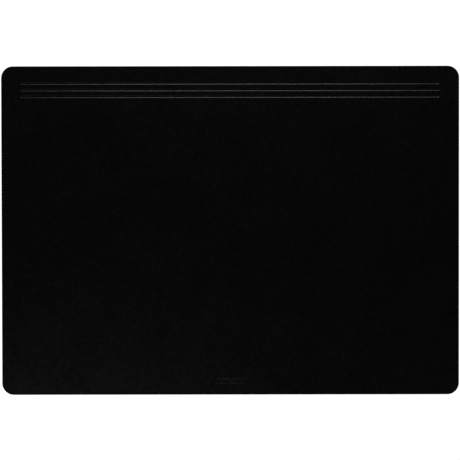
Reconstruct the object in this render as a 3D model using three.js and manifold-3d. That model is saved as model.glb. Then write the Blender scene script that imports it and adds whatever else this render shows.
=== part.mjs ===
// A laminated desk mat. A pressed plastic writing sheet is bonded to a thin foam core, and the
// core to a rubber backing that grips the desk. The mat lies flat and has no moving parts.
//
// Millimetres, +Z up. The origin is on the desk, under the middle of the mat. +X is to the right
// and +Y points away from the person at the desk, towards the three grooves.

import * as THREE from "three";
import { LoftGeometry } from "three/addons/geometries/LoftGeometry.js";
import { mergeVertices } from "three/addons/utils/BufferGeometryUtils.js";
import Module from "manifold-3d";

const wasm = await Module();
wasm.setup();

// The outline, which every layer shares because one die cuts them all.
const MAT_WIDTH = 700;
const MAT_DEPTH = 503;
const CORNER_RADIUS = 18;
const ARC_DIVISIONS = 6; // three.js draws an arc with twice as many facets

// Layer thicknesses. Eighths of a millimetre are exact in 32-bit numbers, so two layers that
// touch meet at exactly one height and never overlap.
const BACKING_THICKNESS = 0.625;
const BOND_FILM_THICKNESS = 0.125;
const FOAM_THICKNESS = 1.125;
const SHEET_THICKNESS = 1;
const SHEET_EDGE_RADIUS = 0.5; // the writing sheet's rounded upper rim
const RIM_STEPS = 4;

// Three straight grooves pressed into the writing sheet, parallel to its back edge.
const GROOVE_COUNT = 3;
const GROOVE_INSET = 26.2; // from the back edge to the first groove's centreline
const GROOVE_PITCH = 10.15;
const GROOVE_SIDE_GAP = 30; // from each side edge to the grooves' rounded ends
const GROOVE_WIDTH = 3.6;
const GROOVE_DEPTH = 0.6;
const GROOVE_SIDES = 48; // facets around the round tool that presses a groove
const GROOVE_END_STEPS = 12;

// A plain pill outline with a row of dots in it, pressed lightly near the front edge.
const MARK_WIDTH = 48;
const MARK_HEIGHT = 8;
const MARK_LINE_WIDTH = 0.8;
const MARK_DEPTH = 0.25;
const MARK_INSET = 21; // from the front edge to the mark's middle
const MARK_DOT_COUNT = 7;
const MARK_DOT_PITCH = 5.5;
const MARK_DOT_RADIUS = 0.8;
const MARK_DOT_SIDES = 16;
const MARK_TOOL_HEIGHT = 2; // enough for the mark's tools to stand clear of the face

const QUARTER_TURN = Math.PI / 2;

const MATERIALS = {
  sheet: new THREE.MeshStandardMaterial({ color: 0x101010, roughness: 0.6, metalness: 0 }),
  film: new THREE.MeshStandardMaterial({ color: 0x2a2a28, roughness: 0.35, metalness: 0 }),
  foam: new THREE.MeshStandardMaterial({ color: 0x1a1a1a, roughness: 0.95, metalness: 0 }),
  rubber: new THREE.MeshStandardMaterial({ color: 0x121212, roughness: 0.85, metalness: 0 }),
};

// The mat's outline, counterclockwise seen from above, drawn in by inset on all sides.
function matOutline(inset = 0) {
  const radius = CORNER_RADIUS - inset;
  const x = MAT_WIDTH / 2 - CORNER_RADIUS;
  const y = MAT_DEPTH / 2 - CORNER_RADIUS;
  const outline = new THREE.Shape();
  outline.absarc(x, y, radius, 0, QUARTER_TURN);
  outline.absarc(-x, y, radius, QUARTER_TURN, 2 * QUARTER_TURN);
  outline.absarc(-x, -y, radius, 2 * QUARTER_TURN, 3 * QUARTER_TURN);
  outline.absarc(x, -y, radius, 3 * QUARTER_TURN, 4 * QUARTER_TURN);
  return outline;
}

// One level ring of the mat's outline, for lofting.
function matSection(height, inset = 0) {
  const points = matOutline(inset).getPoints(ARC_DIVISIONS);
  return points.map((point) => new THREE.Vector3(point.x, point.y, height));
}

function flatLayer(thickness) {
  const sections = [matSection(0), matSection(thickness)];
  return new LoftGeometry(sections, { capStart: true, capEnd: true });
}

// A layer whose upper rim is rounded off through a quarter circle.
function roundedLayer(thickness, rimRadius) {
  const sections = [matSection(0)];
  for (let step = 0; step <= RIM_STEPS; step++) {
    const angle = (step / RIM_STEPS) * QUARTER_TURN;
    const height = thickness - rimRadius * (1 - Math.sin(angle));
    sections.push(matSection(height, rimRadius * (1 - Math.cos(angle))));
  }
  return new LoftGeometry(sections, { capStart: true, capEnd: true });
}

function pillOutline(width, height) {
  const radius = height / 2;
  const x = width / 2 - radius;
  const outline = new THREE.Shape();
  outline.absarc(x, 0, radius, -QUARTER_TURN, QUARTER_TURN);
  outline.absarc(-x, 0, radius, QUARTER_TURN, 3 * QUARTER_TURN);
  return outline;
}

// The pressing tools below are made for a sheet whose face is at height zero.

// The round-ended tool for one groove, lying along X. It is a capsule that stands above the
// face and dips into it by the groove's depth, which gives the groove its width at the face.
function grooveTool(y) {
  const halfWidth = GROOVE_WIDTH / 2;
  const radius = (halfWidth ** 2 + GROOVE_DEPTH ** 2) / (2 * GROOVE_DEPTH);
  const straight = MAT_WIDTH - 2 * GROOVE_SIDE_GAP - GROOVE_WIDTH;
  return new THREE.CapsuleGeometry(radius, straight, GROOVE_END_STEPS, GROOVE_SIDES)
    .rotateZ(QUARTER_TURN)
    .translate(0, y, radius - GROOVE_DEPTH);
}

function grooveTools() {
  const tools = [];
  for (let i = 0; i < GROOVE_COUNT; i++) {
    tools.push(grooveTool(MAT_DEPTH / 2 - GROOVE_INSET - i * GROOVE_PITCH));
  }
  return tools;
}

// The tool for the mark's line: a pill with a smaller pill taken out of it.
function markRingTool(y) {
  const ring = pillOutline(MARK_WIDTH, MARK_HEIGHT);
  const lineSides = 2 * MARK_LINE_WIDTH;
  ring.holes.push(pillOutline(MARK_WIDTH - lineSides, MARK_HEIGHT - lineSides));
  const options = { depth: MARK_TOOL_HEIGHT, bevelEnabled: false, curveSegments: ARC_DIVISIONS };
  return new THREE.ExtrudeGeometry(ring, options).translate(0, y, -MARK_DEPTH);
}

function markDotTool(x, y) {
  const [radius, height] = [MARK_DOT_RADIUS, MARK_TOOL_HEIGHT];
  return new THREE.CylinderGeometry(radius, radius, height, MARK_DOT_SIDES)
    .rotateX(QUARTER_TURN)
    .translate(x, y, height / 2 - MARK_DEPTH);
}

function markTools() {
  const y = MARK_INSET - MAT_DEPTH / 2;
  const tools = [markRingTool(y)];
  for (let i = 0; i < MARK_DOT_COUNT; i++) {
    tools.push(markDotTool((i - (MARK_DOT_COUNT - 1) / 2) * MARK_DOT_PITCH, y));
  }
  return tools;
}

function toSolid(geometry) {
  const bare = new THREE.BufferGeometry();
  bare.setAttribute("position", geometry.getAttribute("position"));
  bare.setIndex(geometry.index);
  const merged = mergeVertices(bare);
  const mesh = new wasm.Mesh({
    numProp: 3,
    vertProperties: merged.attributes.position.array,
    triVerts: new Uint32Array(merged.index.array),
  });
  return new wasm.Manifold(mesh);
}

function toGeometry(solid) {
  const mesh = solid.getMesh();
  const geometry = new THREE.BufferGeometry();
  geometry.setAttribute("position", new THREE.BufferAttribute(mesh.vertProperties, 3));
  geometry.setIndex(new THREE.BufferAttribute(mesh.triVerts, 1));
  geometry.computeVertexNormals();
  return geometry;
}

function writingSheet(thickness) {
  let sheet = toSolid(roundedLayer(thickness, SHEET_EDGE_RADIUS));
  for (const tool of [...grooveTools(), ...markTools()]) {
    sheet = sheet.subtract(toSolid(tool.translate(0, 0, thickness)));
  }
  return toGeometry(sheet);
}

// The layers in the order they lie, from the desk up.
const LAYERS = [
  {
    name: "grip_backing",
    thickness: BACKING_THICKNESS,
    build: flatLayer,
    material: MATERIALS.rubber,
  },
  {
    name: "lower_bond_film",
    thickness: BOND_FILM_THICKNESS,
    build: flatLayer,
    material: MATERIALS.film,
  },
  {
    name: "foam_core",
    thickness: FOAM_THICKNESS,
    build: flatLayer,
    material: MATERIALS.foam,
  },
  {
    name: "upper_bond_film",
    thickness: BOND_FILM_THICKNESS,
    build: flatLayer,
    material: MATERIALS.film,
  },
  {
    name: "top_sheet",
    thickness: SHEET_THICKNESS,
    build: writingSheet,
    material: MATERIALS.sheet,
  },
];

// Each layer stands on the one before it.
function deskMat() {
  const mat = new THREE.Group();
  let height = 0;
  for (const layer of LAYERS) {
    const mesh = new THREE.Mesh(layer.build(layer.thickness), layer.material);
    mesh.name = layer.name;
    mesh.position.z = height;
    mat.add(mesh);
    height += layer.thickness;
  }
  return mat;
}

export default deskMat();
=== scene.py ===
"""A laminated desk mat on a white table, seen from straight above.

The mat is five bonded layers: a pressed plastic writing sheet, a film of adhesive, a thin foam
core, a second film, and a rubber backing with a grip pattern. Each is rebuilt here in full
detail and stands for its plain CAD solid. Everything is in metres, in the CAD model's frame.
"""

import math

import bpy
import numpy as np
from mathutils import Matrix, Vector, noise
from mathutils.geometry import delaunay_2d_cdt


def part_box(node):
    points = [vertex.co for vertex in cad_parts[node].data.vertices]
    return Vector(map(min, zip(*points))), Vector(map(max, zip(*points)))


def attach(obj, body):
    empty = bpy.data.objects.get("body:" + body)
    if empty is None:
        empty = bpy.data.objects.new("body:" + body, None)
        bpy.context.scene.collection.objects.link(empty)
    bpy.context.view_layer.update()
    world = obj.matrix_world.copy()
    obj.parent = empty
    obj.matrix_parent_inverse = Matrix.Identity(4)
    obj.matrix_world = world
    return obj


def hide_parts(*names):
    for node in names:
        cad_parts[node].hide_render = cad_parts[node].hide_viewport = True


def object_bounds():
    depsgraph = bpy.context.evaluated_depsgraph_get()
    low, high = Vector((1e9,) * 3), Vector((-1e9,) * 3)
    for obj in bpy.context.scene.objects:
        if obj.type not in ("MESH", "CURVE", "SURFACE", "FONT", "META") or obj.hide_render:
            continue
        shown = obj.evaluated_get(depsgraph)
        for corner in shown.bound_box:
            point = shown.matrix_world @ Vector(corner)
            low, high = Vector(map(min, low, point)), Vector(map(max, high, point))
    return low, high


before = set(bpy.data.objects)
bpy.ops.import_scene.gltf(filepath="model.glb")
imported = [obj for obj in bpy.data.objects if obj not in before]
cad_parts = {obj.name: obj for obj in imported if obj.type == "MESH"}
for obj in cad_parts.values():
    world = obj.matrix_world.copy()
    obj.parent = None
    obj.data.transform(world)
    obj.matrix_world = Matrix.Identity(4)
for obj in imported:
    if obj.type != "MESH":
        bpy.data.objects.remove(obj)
CAD_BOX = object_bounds()

MM = 0.001
HALF_PI = math.pi / 2

# ---------------------------------------------------------------- sizes shared with the CAD part
CORNER_RADIUS = 18 * MM
SHEET_RIM_RADIUS = 0.5 * MM
GROOVE_COUNT = 3
GROOVE_INSET = 26.2 * MM  # back edge to the first groove's centreline
GROOVE_PITCH = 10.15 * MM
GROOVE_SIDE_GAP = 30 * MM  # side edge to the grooves' rounded ends
GROOVE_WIDTH = 3.6 * MM
GROOVE_DEPTH = 0.6 * MM
MARK_WIDTH = 48 * MM
MARK_HEIGHT = 8 * MM
MARK_LINE_WIDTH = 0.8 * MM
MARK_DEPTH = 0.25 * MM
MARK_INSET = 21 * MM  # front edge to the mark's middle
MARK_DOT_COUNT = 7
MARK_DOT_PITCH = 5.5 * MM
MARK_DOT_RADIUS = 0.8 * MM

LOW, HIGH = CAD_BOX
HALF_WIDTH = (HIGH.x - LOW.x) / 2
HALF_DEPTH = (HIGH.y - LOW.y) / 2

# ---------------------------------------------------------------- surface detail
CORNER_STEPS = 16  # facets in each rounded corner
EDGE_SPACING = 4 * MM  # between points along a straight edge
FACE_SPACING = 11 * MM  # between loose points on an open face
FACE_MARGIN = 8 * MM  # and they keep this far from the edge
RIM_STEPS = 6
SHEET_LOWER_BEVEL = (0.05 * MM, 0.1 * MM)  # across and up
RIM_LOOPS = ((1.2 * MM, 0.5), (4 * MM, 0.0))  # inset and burnish of the ground beside the rim

GROOVE_SHOULDER = 0.12 * MM  # how far a groove's shoulder is softened
GROOVE_LOOPS = (1.3, 1.12, 1.06, 1.0, 0.94, 0.86, 0.74, 0.58, 0.4, 0.2)  # of its half width
GROOVE_SPACING = 8 * MM
GROOVE_END_STEPS = 6
GROOVE_BURNISH = 1.5  # burnish at full depth, before it is held to one

# Across the edge of a pressed mark: distance outside it, and the share of the full depth there.
MARK_PROFILE = ((0.3 * MM, 0.0), (0.1 * MM, 0.0), (0.05 * MM, 0.12), (0.0, 0.5),
                (-0.05 * MM, 0.88), (-0.1 * MM, 1.0))
MARK_BURNISH = 0.3
MARK_SPACING = 2 * MM
MARK_END_STEPS = 10
MARK_DOT_STEPS = 5
FEATURE_GUARD = 3 * MM  # loose points keep this far from a groove or the mark

UNDULATION = 0.1 * MM  # how far the soft sheet's face wanders from flat
UNDULATION_LENGTH = 120 * MM
UNDULATION_FADE = 30 * MM  # the face is flat again this close to the edge
SHARP_ANGLE = math.radians(35)  # edges that turn further than this are shaded as corners
INSIDE_ONLY = 1  # the triangulation's output type that keeps what lies inside the outline
MERGE_DISTANCE = 1e-8

FILM_INSET = 0.12 * MM  # the die presses the adhesive back from the cut edge
FILM_BELLY = 0.06 * MM  # but its middle bulges outwards
FILM_WANDER = 0.3 * MM  # how far its edge creeps in and out
FILM_WANDER_LENGTH = 9 * MM
FILM_SEEDS = {"upper": 1.7, "lower": 5.3}  # so that the two films differ

FOAM_INSET = 0.1 * MM
FOAM_WAIST = 0.22 * MM  # how far the cut edge is drawn in at half height
FOAM_STEPS = 6
FOAM_SPACING = 1.6 * MM
FOAM_WANDER = 0.16 * MM
FOAM_WANDER_LENGTH = 1.1 * MM

GRIP_PITCH = 10 * MM  # between the pads under the mat
GRIP_PAD = 7.6 * MM
GRIP_PAD_RADIUS = 1.2 * MM
GRIP_PAD_STEPS = 2
GRIP_BEVEL = 0.25 * MM
GRIP_CHANNEL = 0.25 * MM  # depth of the channels between the pads
GRIP_BORDER = 9 * MM
GRIP_EDGE_BEVEL = 0.15 * MM


# ================================================================ outlines and solids
def rounded_rectangle(centre, half_x, half_y, radius, arc_steps, spacing):
    """A counterclockwise loop of (x, y) points. Straight sides are split at about spacing."""
    arms = (half_x - radius, half_y - radius)
    corners = []
    for quarter, (sx, sy) in enumerate(((1, 1), (-1, 1), (-1, -1), (1, -1))):
        for step in range(arc_steps + 1):
            angle = (quarter + step / arc_steps) * HALF_PI
            x = centre[0] + sx * arms[0] + radius * math.cos(angle)
            y = centre[1] + sy * arms[1] + radius * math.sin(angle)
            corners.append((x, y))
    loop = []
    for i, start in enumerate(corners):
        end = corners[(i + 1) % len(corners)]
        length = math.dist(start, end)
        if length < MERGE_DISTANCE:
            continue
        parts = max(1, round(length / spacing))
        for part in range(parts):
            share = part / parts
            loop.append((start[0] + (end[0] - start[0]) * share,
                         start[1] + (end[1] - start[1]) * share))
    return np.array(loop)


def mat_outline(inset=0.0, spacing=EDGE_SPACING):
    return rounded_rectangle((0, 0), HALF_WIDTH - inset, HALF_DEPTH - inset,
                             CORNER_RADIUS - inset, CORNER_STEPS, spacing)


def raised(loop, height, burnish=0.0):
    """A loop's points with a height and a burnish, which says how polished the surface is."""
    count = len(loop)
    return np.column_stack((loop, np.full(count, height), np.full(count, burnish)))


def cap(loops, loose, upward):
    """Triangles of a face through closed loops and loose points, as indexes into all of them.
    The first loop is its outer edge."""
    points = np.concatenate([*loops, loose] if len(loose) else loops)
    edges = []
    first = 0
    for loop in loops:
        count = len(loop)
        edges += [(first + i, first + (i + 1) % count) for i in range(count)]
        first += count
    flat = [Vector((x, y)) for x, y in points[:, :2]]
    _, _, faces, origins, _, _ = delaunay_2d_cdt(
        flat, edges, [], INSIDE_ONLY, MERGE_DISTANCE)
    triangles = []
    for face in faces:
        a, b, c = (origins[corner][0] for corner in face)
        turn = np.cross(points[b, :2] - points[a, :2], points[c, :2] - points[a, :2])
        triangles.append((a, b, c) if (turn > 0) == upward else (a, c, b))
    return points, triangles


def build_solid(name, rings, below=((), ()), above=((), ())):
    """A closed solid. rings are loops of equal length, from the bottom up. below and above are
    the further loops and the loose points of the two end faces."""
    count = len(rings[0])
    low_points, low_faces = cap([rings[0], *below[0]], below[1], upward=False)
    high_points, high_faces = cap([rings[-1], *above[0]], above[1], upward=True)
    last = (len(rings) - 1) * count
    low_extra = len(rings) * count
    high_extra = low_extra + len(low_points) - count
    points = np.concatenate([*rings, low_points[count:], high_points[count:]])
    faces = []
    for ring in range(len(rings) - 1):
        for i in range(count):
            j = (i + 1) % count
            a, b = ring * count + i, ring * count + j
            faces.append((a, b, b + count, a + count))
    for face in low_faces:
        faces.append([i if i < count else i - count + low_extra for i in face])
    for face in high_faces:
        faces.append([i + last if i < count else i - count + high_extra for i in face])
    mesh = bpy.data.meshes.new(name)
    mesh.from_pydata(points[:, :3].tolist(), [], faces)
    mesh.shade_smooth()
    mesh.set_sharp_from_angle(angle=SHARP_ANGLE)
    burnish = mesh.attributes.new("burnish", "FLOAT", "POINT")
    burnish.data.foreach_set("value", points[:, 3].astype(np.float32))
    mesh.validate()
    piece = bpy.data.objects.new(name, mesh)
    bpy.context.scene.collection.objects.link(piece)
    return piece


def face_grid(spacing, margin, keep):
    """Loose points over the mat's face where keep(x, y) is true. Every other row is shifted by
    half a step."""
    points = []
    rows = int((HALF_DEPTH - margin) / spacing)
    columns = int((HALF_WIDTH - margin) / spacing)
    for row in range(-rows, rows + 1):
        for column in range(-columns, columns + 1):
            x = (column + (row % 2) / 2) * spacing
            y = row * spacing
            if edge_distance(x, y) > margin and keep(x, y):
                points.append((x, y))
    return np.array(points)


def edge_distance(x, y):
    """How far a point lies inside the mat's outline."""
    across = abs(x) - (HALF_WIDTH - CORNER_RADIUS)
    along = abs(y) - (HALF_DEPTH - CORNER_RADIUS)
    if across > 0 and along > 0:
        return CORNER_RADIUS - math.hypot(across, along)
    return CORNER_RADIUS - max(across, along)


# ================================================================ the writing sheet
def groove_lines():
    """Each groove's y and its half length to the centres of its round ends."""
    half = HALF_WIDTH - GROOVE_SIDE_GAP - GROOVE_WIDTH / 2
    return [(HALF_DEPTH - GROOVE_INSET - i * GROOVE_PITCH, half) for i in range(GROOVE_COUNT)]


def groove_depth(offset):
    """Depth at a distance from the groove's axis: a round tool's arc with softened shoulders."""
    half = GROOVE_WIDTH / 2
    radius = (half**2 + GROOVE_DEPTH**2) / (2 * GROOVE_DEPTH)
    arc = math.sqrt(max(radius**2 - offset**2, 0)) - (radius - GROOVE_DEPTH)
    if arc >= GROOVE_SHOULDER:
        return arc
    if arc <= -GROOVE_SHOULDER:
        return 0.0
    return (arc + GROOVE_SHOULDER) ** 2 / (4 * GROOVE_SHOULDER)


def groove_loops(y, half, face):
    """Nested pill loops down a groove's wall, from flat ground outside it."""
    loops = []
    for share in GROOVE_LOOPS:
        offset = share * GROOVE_WIDTH / 2
        depth = groove_depth(offset)
        pill = rounded_rectangle((0, y), half + offset, offset, offset, GROOVE_END_STEPS,
                                 GROOVE_SPACING)
        loops.append(raised(pill, face - depth, min(1, GROOVE_BURNISH * depth / GROOVE_DEPTH)))
    return loops


def groove_floor(y, half, face):
    count = round(2 * half / GROOVE_SPACING) + 1
    xs = np.linspace(-half, half, count)
    return raised(np.column_stack((xs, np.full(count, y))), face - GROOVE_DEPTH, 1.0)


def mark_loops(face):
    """The pill's line, pressed between two edges, and its row of round dots."""
    y = MARK_INSET - HALF_DEPTH
    loops = []
    for outside, share in MARK_PROFILE:
        height, burnish = face - MARK_DEPTH * share, MARK_BURNISH * share
        for grown in (outside, -MARK_LINE_WIDTH - outside):
            half_x, half_y = MARK_WIDTH / 2 + grown, MARK_HEIGHT / 2 + grown
            pill = rounded_rectangle((0, y), half_x, half_y, half_y, MARK_END_STEPS,
                                     MARK_SPACING)
            loops.append(raised(pill, height, burnish))
        radius = MARK_DOT_RADIUS + outside
        for i in range(MARK_DOT_COUNT):
            x = (i - (MARK_DOT_COUNT - 1) / 2) * MARK_DOT_PITCH
            dot = rounded_rectangle((x, y), radius, radius, radius, MARK_DOT_STEPS, MARK_SPACING)
            loops.append(raised(dot, height, burnish))
    return loops


def clear_of_features(x, y):
    """True on open ground, away from the grooves and the mark."""
    in_grooves = any(abs(y - line) < FEATURE_GUARD and abs(x) < half + FEATURE_GUARD
                     for line, half in groove_lines())
    in_mark = (abs(x) < MARK_WIDTH / 2 + FEATURE_GUARD
               and abs(y - MARK_INSET + HALF_DEPTH) < MARK_HEIGHT / 2 + FEATURE_GUARD)
    return not (in_grooves or in_mark)


def undulate(piece, face):
    """Lets the sheet's upper face wander a little from flat, as soft plastic on foam does."""
    for vertex in piece.data.vertices:
        x, y, z = vertex.co
        if z < face - GROOVE_DEPTH - SHEET_LOWER_BEVEL[1]:
            continue
        fade = min(1.0, max(0.0, edge_distance(x, y) / UNDULATION_FADE))
        wander = noise.noise(Vector((x, y, 0)) / UNDULATION_LENGTH)
        vertex.co.z = z + UNDULATION * wander * fade * fade * (3 - 2 * fade)


def make_writing_sheet():
    low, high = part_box("top_sheet")
    face = high.z
    across, up = SHEET_LOWER_BEVEL
    rings = [raised(mat_outline(across), low.z), raised(mat_outline(), low.z + up)]
    for step in range(RIM_STEPS + 1):
        angle = step / RIM_STEPS * HALF_PI
        inset = SHEET_RIM_RADIUS * (1 - math.cos(angle))
        height = face - SHEET_RIM_RADIUS * (1 - math.sin(angle))
        rings.append(raised(mat_outline(inset), height, math.sin(angle)))
    loops = [raised(mat_outline(inset), face, burnish) for inset, burnish in RIM_LOOPS]
    floors = []
    for y, half in groove_lines():
        loops += groove_loops(y, half, face)
        floors.append(groove_floor(y, half, face))
    loops += mark_loops(face)
    open_ground = raised(face_grid(FACE_SPACING, FACE_MARGIN, clear_of_features), face)
    loose = np.concatenate([open_ground, *floors])
    sheet = build_solid("writing_sheet", rings, above=(loops, loose))
    undulate(sheet, face)
    return sheet


# ================================================================ the layers under it
def ragged(loop, amount, length, seed):
    """Moves a loop's points in from the edge by a noise, as a die leaves a soft edge."""
    across = HALF_WIDTH - CORNER_RADIUS
    along = HALF_DEPTH - CORNER_RADIUS
    moved = loop.copy()
    for i, (x, y) in enumerate(loop):
        core = Vector((max(-across, min(across, x)), max(-along, min(along, y))))
        inward = (core - Vector((x, y))).normalized()
        wander = 0.5 + 0.5 * noise.noise(Vector((x, y, seed)) / length)
        moved[i] = (x + inward.x * amount * wander, y + inward.y * amount * wander)
    return moved


def make_bond_film(node, name, seed):
    """A thin film whose edge creeps in and out where the adhesive was squeezed."""
    low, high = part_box(node)
    rim = ragged(mat_outline(FILM_INSET), FILM_WANDER, FILM_WANDER_LENGTH, seed)
    belly = ragged(mat_outline(FILM_INSET - FILM_BELLY), FILM_WANDER, FILM_WANDER_LENGTH, seed)
    rings = [raised(rim, low.z), raised(belly, (low.z + high.z) / 2), raised(rim, high.z)]
    return build_solid(name, rings)


def make_foam_core():
    """Foam with a cut edge: a slight waist, and the roughness of burst cells."""
    low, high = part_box("foam_core")
    rings = []
    for step in range(FOAM_STEPS + 1):
        share = step / FOAM_STEPS
        waist = FOAM_WAIST * math.sin(share * math.pi)
        outline = mat_outline(FOAM_INSET + waist, FOAM_SPACING)
        if 0 < step < FOAM_STEPS:
            outline = ragged(outline, FOAM_WANDER, FOAM_WANDER_LENGTH, seed=step)
        rings.append(raised(outline, low.z + (high.z - low.z) * share))
    return build_solid("foam_layer", rings)


def grip_pad_loops(x, y, low):
    """A pad's edge in the channel and its edge on the desk, or nothing near the border."""
    foot = GRIP_PAD / 2 + GRIP_BEVEL
    if edge_distance(abs(x) + foot, abs(y) + foot) < GRIP_BORDER + 2 * GRIP_BEVEL:
        return []
    loops = []
    for grown, height in ((GRIP_BEVEL, low + GRIP_CHANNEL), (0, low)):
        half = GRIP_PAD / 2 + grown
        pad = rounded_rectangle((x, y), half, half, GRIP_PAD_RADIUS + grown, GRIP_PAD_STEPS,
                                spacing=GRIP_PAD)
        loops.append(raised(pad, height))
    return loops


def make_grip_backing():
    """Rubber whose underside stands on rows of small square pads inside a plain border."""
    low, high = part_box("grip_backing")
    rings = [raised(mat_outline(GRIP_EDGE_BEVEL), low.z),
             raised(mat_outline(), low.z + GRIP_EDGE_BEVEL),
             raised(mat_outline(), high.z)]
    loops = [raised(mat_outline(GRIP_BORDER), low.z),
             raised(mat_outline(GRIP_BORDER + GRIP_BEVEL), low.z + GRIP_CHANNEL)]
    rows = int(HALF_DEPTH / GRIP_PITCH)
    columns = int(HALF_WIDTH / GRIP_PITCH)
    for row in range(-rows, rows + 1):
        for column in range(-columns, columns + 1):
            loops += grip_pad_loops(column * GRIP_PITCH, row * GRIP_PITCH, low.z)
    return build_solid("grip_layer", rings, below=(loops, ()))


# ================================================================ materials
PEBBLE_SIZE = 1.7 * MM  # the writing sheet's embossed grain
PEBBLE_RELIEF = 0.06 * MM
PEBBLE_BEND = 0.7 * MM  # how far the pebbles' outlines are bent by a noise
PEBBLE_BEND_SIZE = 3 * MM
PEBBLE_BLEND = 0.4  # how softly neighbouring pebbles run together
PEBBLE_FLANK = (0.1, 0.8)  # from a pebble's top to the dip beside it, in pebble sizes
PORE_SIZE = 0.4 * MM  # finer unevenness laid over the pebbles
MOTTLE_SIZE = 5 * MM  # patches of wear
CLOUD_SIZE = 90 * MM  # broad, faint changes of tone
SHEET_GREYS = (0.0015, 0.0059)  # where it is worn smooth, and where it is rough
SHEET_ROUGHNESS = (0.44, 0.31)  # where it is rough, and where it is worn smooth
TONE_SHARES = (0.3, 0.7)  # of the clouds and the mottle in its colour
WEAR_SHARES = (0.2, 0.65, 0.15)  # of the clouds, the mottle and the pebbles in its roughness
GRAIN_SHARES = (0.8, 0.2)  # of the pebbles and the pores in its relief
BURNISH_GLOSS = 0.03  # roughness taken off where the sheet is burnished
BURNISHED_RELIEF = 0.2  # share of the relief left there

STREAK_SIZE = 4 * MM  # in the set adhesive
STREAK_RELIEF = 0.05 * MM
FILM_GREYS = (0.012, 0.03)
FILM_ROUGHNESS = (0.25, 0.45)

FOAM_CELL_SIZE = 0.35 * MM
FOAM_CELL_DEPTH = 0.15 * MM
FOAM_GREYS = (0.02, 0.008)  # in the cells' middles, and on the walls between them
FOAM_ROUGHNESS = (0.82, 0.98)

DUST_SIZE = 30 * MM  # on the rubber
SAND_SIZE = 0.5 * MM
SAND_RELIEF = 0.06 * MM
RUBBER_GREYS = (0.006, 0.014)  # where it is clean, and where it is dusty
RUBBER_ROUGHNESS = (0.75, 0.9)

NOISE_MIDDLE = (0.3, 0.7)  # where most of a noise's values lie


def new_material(name):
    material = bpy.data.materials.new(name)
    material.use_nodes = True
    tree = material.node_tree
    return material, tree, tree.nodes["Principled BSDF"]


def add_node(tree, kind, settings=(), **values):
    """A node with its properties from settings and its unlinked inputs from values."""
    node = tree.nodes.new(kind)
    for key, value in dict(settings).items():
        setattr(node, key, value)
    for key, value in values.items():
        node.inputs[key.replace("_", " ")].default_value = value
    return node


def object_place(tree):
    return tree.nodes.new("ShaderNodeTexCoord").outputs["Object"]


def remap(tree, value, span, new_span):
    node = add_node(tree, "ShaderNodeMapRange", From_Min=span[0], From_Max=span[1],
                    To_Min=new_span[0], To_Max=new_span[1])
    tree.links.new(value, node.inputs["Value"])
    return node.outputs["Result"]


def noise_at(tree, where, size, detail=2.0, roughness=0.5):
    """A noise whose features are about size across."""
    texture = add_node(tree, "ShaderNodeTexNoise", Scale=1 / size, Detail=detail,
                       Roughness=roughness)
    tree.links.new(where, texture.inputs["Vector"])
    return texture.outputs["Fac"]


def pebbles_at(tree, where):
    """Rounded pebbles, one at their tops and zero between them."""
    bend = add_node(tree, "ShaderNodeTexNoise", Scale=1 / PEBBLE_BEND_SIZE, Detail=1)
    tree.links.new(where, bend.inputs["Vector"])
    bent = add_node(tree, "ShaderNodeVectorMath", {"operation": "MULTIPLY_ADD"})
    tree.links.new(bend.outputs["Color"], bent.inputs[0])
    bent.inputs[1].default_value = (PEBBLE_BEND,) * 3
    tree.links.new(where, bent.inputs[2])
    cells = add_node(tree, "ShaderNodeTexVoronoi", {"feature": "SMOOTH_F1"},
                     Scale=1 / PEBBLE_SIZE, Smoothness=PEBBLE_BLEND)
    tree.links.new(bent.outputs["Vector"], cells.inputs["Vector"])
    return remap(tree, cells.outputs["Distance"], PEBBLE_FLANK, (1, 0))


def combine(tree, operation, first, second):
    node = add_node(tree, "ShaderNodeMath", {"operation": operation})
    for socket, value in zip(node.inputs, (first, second)):
        if isinstance(value, (int, float)):
            socket.default_value = value
        else:
            tree.links.new(value, socket)
    return node.outputs["Value"]


def weighted(tree, values, shares):
    """The sum of the values, each times its share."""
    total = 0.0
    for value, share in zip(values, shares):
        total = combine(tree, "ADD", combine(tree, "MULTIPLY", value, share), total)
    return total


def grey_ramp(tree, value, greys):
    """A colour between two levels of grey, as value goes from zero to one."""
    ramp = tree.nodes.new("ShaderNodeValToRGB")
    for stop, level in zip(ramp.color_ramp.elements, greys):
        stop.color = (level, level, level, 1)
    tree.links.new(value, ramp.inputs["Fac"])
    return ramp.outputs["Color"]


def finish_surface(tree, shader, colour, roughness, relief, relief_height):
    """Links a surface's colour, its roughness and its bump."""
    tree.links.new(colour, shader.inputs["Base Color"])
    tree.links.new(roughness, shader.inputs["Roughness"])
    bump = add_node(tree, "ShaderNodeBump", Distance=relief_height)
    tree.links.new(relief, bump.inputs["Height"])
    tree.links.new(bump.outputs["Normal"], shader.inputs["Normal"])


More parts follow.
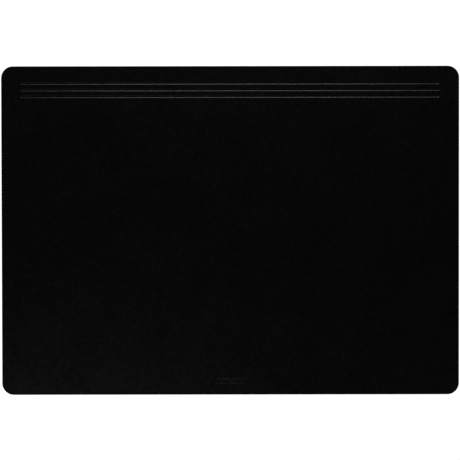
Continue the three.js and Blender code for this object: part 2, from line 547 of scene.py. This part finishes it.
def writing_sheet_material():
    """Matt black plastic embossed with a fine pebble grain. The grain is worn smoother where
    the sheet was pressed and along its rim."""
    material, tree, shader = new_material("writing_sheet")
    place = object_place(tree)
    clouds = noise_at(tree, place, CLOUD_SIZE, detail=3)
    mottle = noise_at(tree, place, MOTTLE_SIZE, detail=4, roughness=0.65)
    pores = noise_at(tree, place, PORE_SIZE, roughness=0.6)
    pebbles = pebbles_at(tree, place)
    burnish = add_node(tree, "ShaderNodeAttribute", {"attribute_name": "burnish"}).outputs["Fac"]

    tone = weighted(tree, (clouds, mottle), TONE_SHARES)
    colour = grey_ramp(tree, remap(tree, tone, NOISE_MIDDLE, (1, 0)), SHEET_GREYS)
    wear = weighted(tree, (clouds, mottle, pebbles), WEAR_SHARES)
    worn = remap(tree, wear, NOISE_MIDDLE, SHEET_ROUGHNESS)
    roughness = combine(tree, "SUBTRACT", worn, combine(tree, "MULTIPLY", burnish, BURNISH_GLOSS))
    grain = weighted(tree, (pebbles, pores), GRAIN_SHARES)
    kept = remap(tree, burnish, (0, 1), (1, BURNISHED_RELIEF))
    finish_surface(tree, shader, colour, roughness, combine(tree, "MULTIPLY", grain, kept),
                   PEBBLE_RELIEF)
    return material


def bond_film_material():
    """Set adhesive: dark, a little glossy, with faint streaks."""
    material, tree, shader = new_material("bond_film")
    streaks = noise_at(tree, object_place(tree), STREAK_SIZE, detail=3)
    finish_surface(tree, shader, grey_ramp(tree, streaks, FILM_GREYS),
                   remap(tree, streaks, NOISE_MIDDLE, FILM_ROUGHNESS), streaks, STREAK_RELIEF)
    return material


def foam_material():
    """Closed-cell foam, with burst cells along its cut edge."""
    material, tree, shader = new_material("foam")
    cells = add_node(tree, "ShaderNodeTexVoronoi", Scale=1 / FOAM_CELL_SIZE)
    tree.links.new(object_place(tree), cells.inputs["Vector"])
    wall = cells.outputs["Distance"]
    finish_surface(tree, shader, grey_ramp(tree, wall, FOAM_GREYS),
                   remap(tree, wall, (0, 1), FOAM_ROUGHNESS), wall, FOAM_CELL_DEPTH)
    return material


def grip_rubber_material():
    """Dull black rubber with a fine sanded texture and a little dust."""
    material, tree, shader = new_material("grip_rubber")
    place = object_place(tree)
    dust = noise_at(tree, place, DUST_SIZE, detail=4)
    sand = noise_at(tree, place, SAND_SIZE, roughness=0.7)
    finish_surface(tree, shader, grey_ramp(tree, dust, RUBBER_GREYS),
                   remap(tree, dust, NOISE_MIDDLE, RUBBER_ROUGHNESS), sand, SAND_RELIEF)
    return material


# ================================================================ studio
CAMERA_LENS = 85  # mm on a 36 mm sensor
CAMERA_DISTANCE = 1.662
CAMERA_AIM = (-0.5 * MM, 0.9 * MM)  # the point on the mat that the camera faces
CAMERA_TILT = math.radians(0.65)  # the camera leans towards the grooved edge
CAMERA_ROLL = math.radians(-0.09)
CAMERA_REACH = 50

FLOOR_HALF = 20
FLOOR_DROP = 0.1 * MM
FLOOR_GREY = 0.85
FLOOR_ROUGHNESS = 0.8
FLOOR_GLOW = 0.95

HORIZON_GLOW = 1.0
CEILING_GLOW = 0.01
HORIZON_BAND = (0.04, 0.3)  # the sines of the elevations between which the horizon fades

# Each soft box's name, its place, the point that it faces, its size, and its power in watts.
SOFTBOXES = (
    ("back_softbox", (0.03, 1.1, 0.4), (0, 0.15, 0), (0.9, 0.3), 3.8),
    ("front_left_softbox", (-0.3, -0.65, 0.26), (-0.2, -0.25, 0), (0.7, 0.15), 1.2),
    ("front_right_softbox", (0.45, -0.6, 0.3), (0.4, -0.2, 0), (0.3, 0.15), 0.14),
)


def make_camera():
    camera = bpy.data.objects.new("camera", bpy.data.cameras.new("camera"))
    camera.data.lens = CAMERA_LENS
    camera.data.clip_end = CAMERA_REACH
    aim = Matrix.Translation((*CAMERA_AIM, HIGH.z))
    turn = Matrix.Rotation(CAMERA_ROLL, 4, "Z") @ Matrix.Rotation(-CAMERA_TILT, 4, "X")
    camera.matrix_world = aim @ turn @ Matrix.Translation((0, 0, CAMERA_DISTANCE))
    bpy.context.scene.collection.objects.link(camera)
    bpy.context.scene.camera = camera


def make_floor():
    """A white table that glows a little, so that the mat lies on pure white."""
    mesh = bpy.data.meshes.new("floor")
    corners = [(x * FLOOR_HALF, y * FLOOR_HALF, LOW.z - FLOOR_DROP)
               for x, y in ((-1, -1), (1, -1), (1, 1), (-1, 1))]
    mesh.from_pydata(corners, [], [range(4)])
    floor = bpy.data.objects.new("floor", mesh)
    material, _, shader = new_material("white_table")
    shader.inputs["Base Color"].default_value = (FLOOR_GREY, FLOOR_GREY, FLOOR_GREY, 1)
    shader.inputs["Roughness"].default_value = FLOOR_ROUGHNESS
    shader.inputs["Emission Color"].default_value = (1, 1, 1, 1)
    shader.inputs["Emission Strength"].default_value = FLOOR_GLOW
    mesh.materials.append(material)
    bpy.context.scene.collection.objects.link(floor)


def make_softbox(name, place, target, size, power):
    """A soft box at place, facing target."""
    light = bpy.data.lights.new(name, "AREA")
    light.shape = "RECTANGLE"
    light.size, light.size_y = size
    light.energy = power
    box = bpy.data.objects.new(name, light)
    box.location = place
    box.rotation_euler = (Vector(target) - Vector(place)).to_track_quat("-Z", "Y").to_euler()
    box.visible_camera = False
    bpy.context.scene.collection.objects.link(box)


def make_world():
    """A bright horizon under a dark ceiling, which the flat face mirrors."""
    world = bpy.data.worlds.new("studio")
    world.use_nodes = True
    tree = world.node_tree
    direction = tree.nodes.new("ShaderNodeTexCoord").outputs["Generated"]
    split = tree.nodes.new("ShaderNodeSeparateXYZ")
    tree.links.new(direction, split.inputs["Vector"])
    glow = remap(tree, split.outputs["Z"], HORIZON_BAND, (HORIZON_GLOW, CEILING_GLOW))
    tree.links.new(glow, tree.nodes["Background"].inputs["Color"])
    bpy.context.scene.world = world


# ================================================================ assembly
def add_layer(piece, node, finish):
    """Gives a layer its material and lets it stand for its CAD solid."""
    piece.data.materials.append(finish)
    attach(piece, "root")
    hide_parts(node)
    return piece


make_camera()
make_floor()
make_world()
for softbox in SOFTBOXES:
    make_softbox(*softbox)

sheet = add_layer(make_writing_sheet(), "top_sheet", writing_sheet_material())
adhesive = bond_film_material()
for side, seed in FILM_SEEDS.items():
    film = make_bond_film(f"{side}_bond_film", f"{side}_film", seed)
    add_layer(film, f"{side}_bond_film", adhesive)
foam = add_layer(make_foam_core(), "foam_core", foam_material())
add_layer(make_grip_backing(), "grip_backing", grip_rubber_material())

bpy.context.scene.view_settings.view_transform = "Standard"
